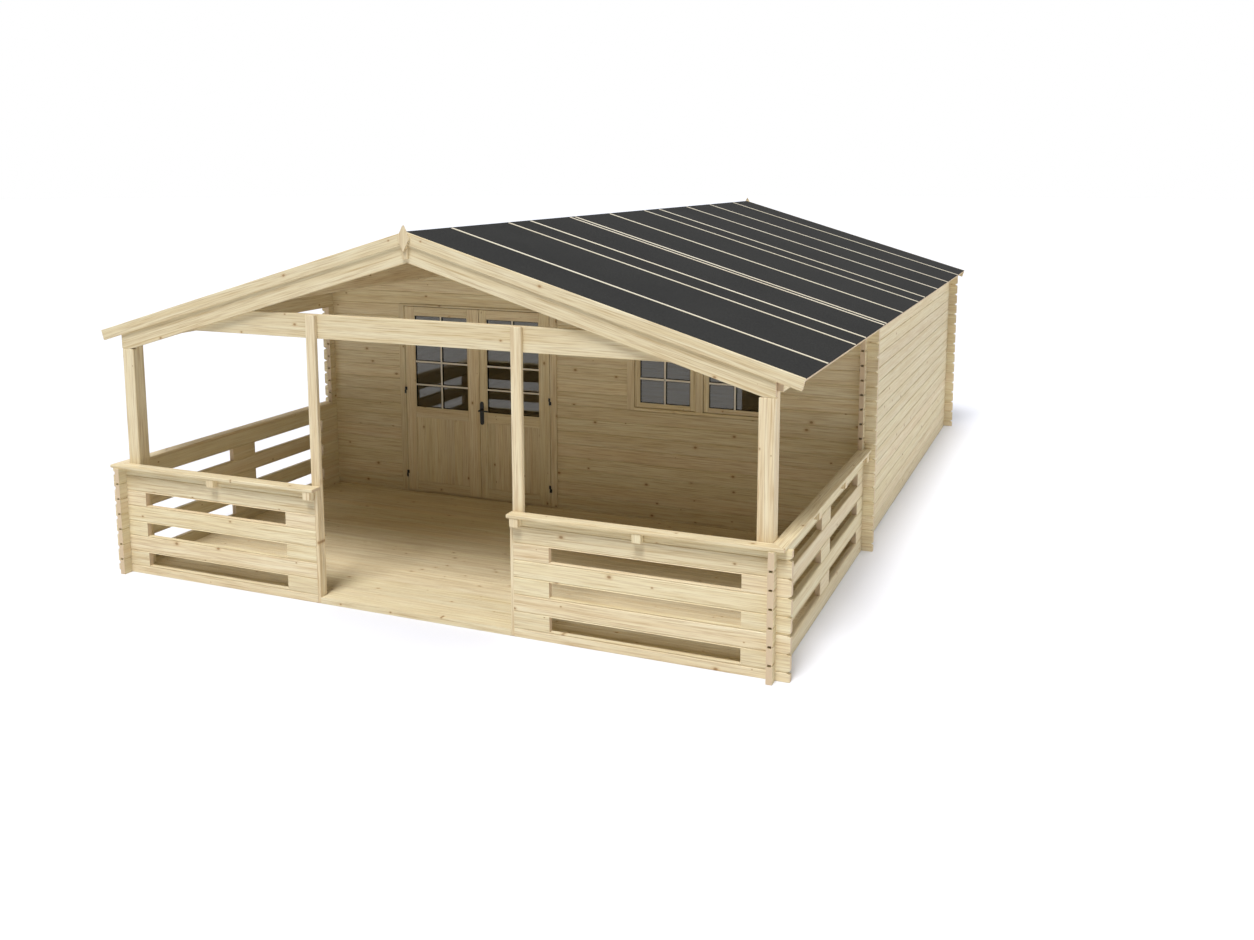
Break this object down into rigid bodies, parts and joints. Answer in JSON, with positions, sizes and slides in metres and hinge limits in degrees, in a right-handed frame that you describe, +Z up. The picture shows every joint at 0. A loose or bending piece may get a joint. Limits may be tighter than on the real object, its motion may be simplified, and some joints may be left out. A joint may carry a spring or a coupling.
{
  "type": "garden house",
  "caption": "Log-built timber garden house with a covered veranda behind slotted railings, glazed double doors, a casement window and a felted gable roof.",
  "frame": {"origin": "on the ground under the middle of the outline", "axes": "+X to the right seen from the front, +Y from the veranda front to the back wall, +Z up"},
  "size_m": [5.572, 8.194, 2.7771],
  "materials": {
    "spruce": "planed, untreated",
    "glass": "clear float",
    "black_iron": "satin black",
    "felt": "matt mineral felt"
  },
  "bodies": {
    "house": {"left_wall": "spruce", "right_wall": "spruce", "back_wall": "spruce", "front_wall_left": "spruce", "front_wall_right": "spruce", "front_gable": "spruce", "eave_beams": "spruce", "cabin_floor": "spruce", "veranda_floor": "spruce", "floor_bearers": "spruce", "door_jambs": "spruce", "door_head": "spruce", "door_sill": "spruce", "frame_hinges": "black_iron", "window_frame": "spruce", "window_sashes": "spruce", "window_glass": "glass", "veranda_posts": "spruce", "tie_beam": "spruce", "left_rafter": "spruce", "right_rafter": "spruce", "left_barges": "spruce", "right_barges": "spruce", "finials": "spruce", "ridge_purlin": "spruce", "mid_purlins": "spruce", "left_roof": "spruce", "right_roof": "spruce", "roof_felt": "felt", "roof_battens": "spruce", "front_left_railing": "spruce", "front_right_railing": "spruce", "left_railing": "spruce", "right_railing": "spruce", "rail_ends": "spruce", "front_caps": "spruce", "side_caps": "spruce", "rail_brackets": "spruce"},
    "left_leaf": {"left_door": "spruce", "left_door_glass": "glass", "left_hinges": "black_iron"},
    "right_leaf": {"right_door": "spruce", "right_door_glass": "glass", "right_hinges": "black_iron", "handle_plate": "black_iron"},
    "lever": {"handle_lever": "black_iron"}
  },
  "joints": [
    {"name": "left_leaf_hinge", "type": "hinge", "parent": "house", "child": "left_leaf", "pos_m": [-1.77125, -1.336, 0.9], "axis": [0, 0, -1], "range_deg": [0, 110]},
    {"name": "right_leaf_hinge", "type": "hinge", "parent": "house", "child": "right_leaf", "pos_m": [-0.23275, -1.336, 0.9], "axis": [0, 0, 1], "range_deg": [0, 110]},
    {"name": "handle_turn", "type": "hinge", "parent": "right_leaf", "child": "lever", "pos_m": [-0.94025, -1.334, 0.915], "axis": [0, 1, 0], "range_deg": [0, 40], "stiffness_Nm_per_rad": 1, "springref_deg": -20.05}
  ]
}
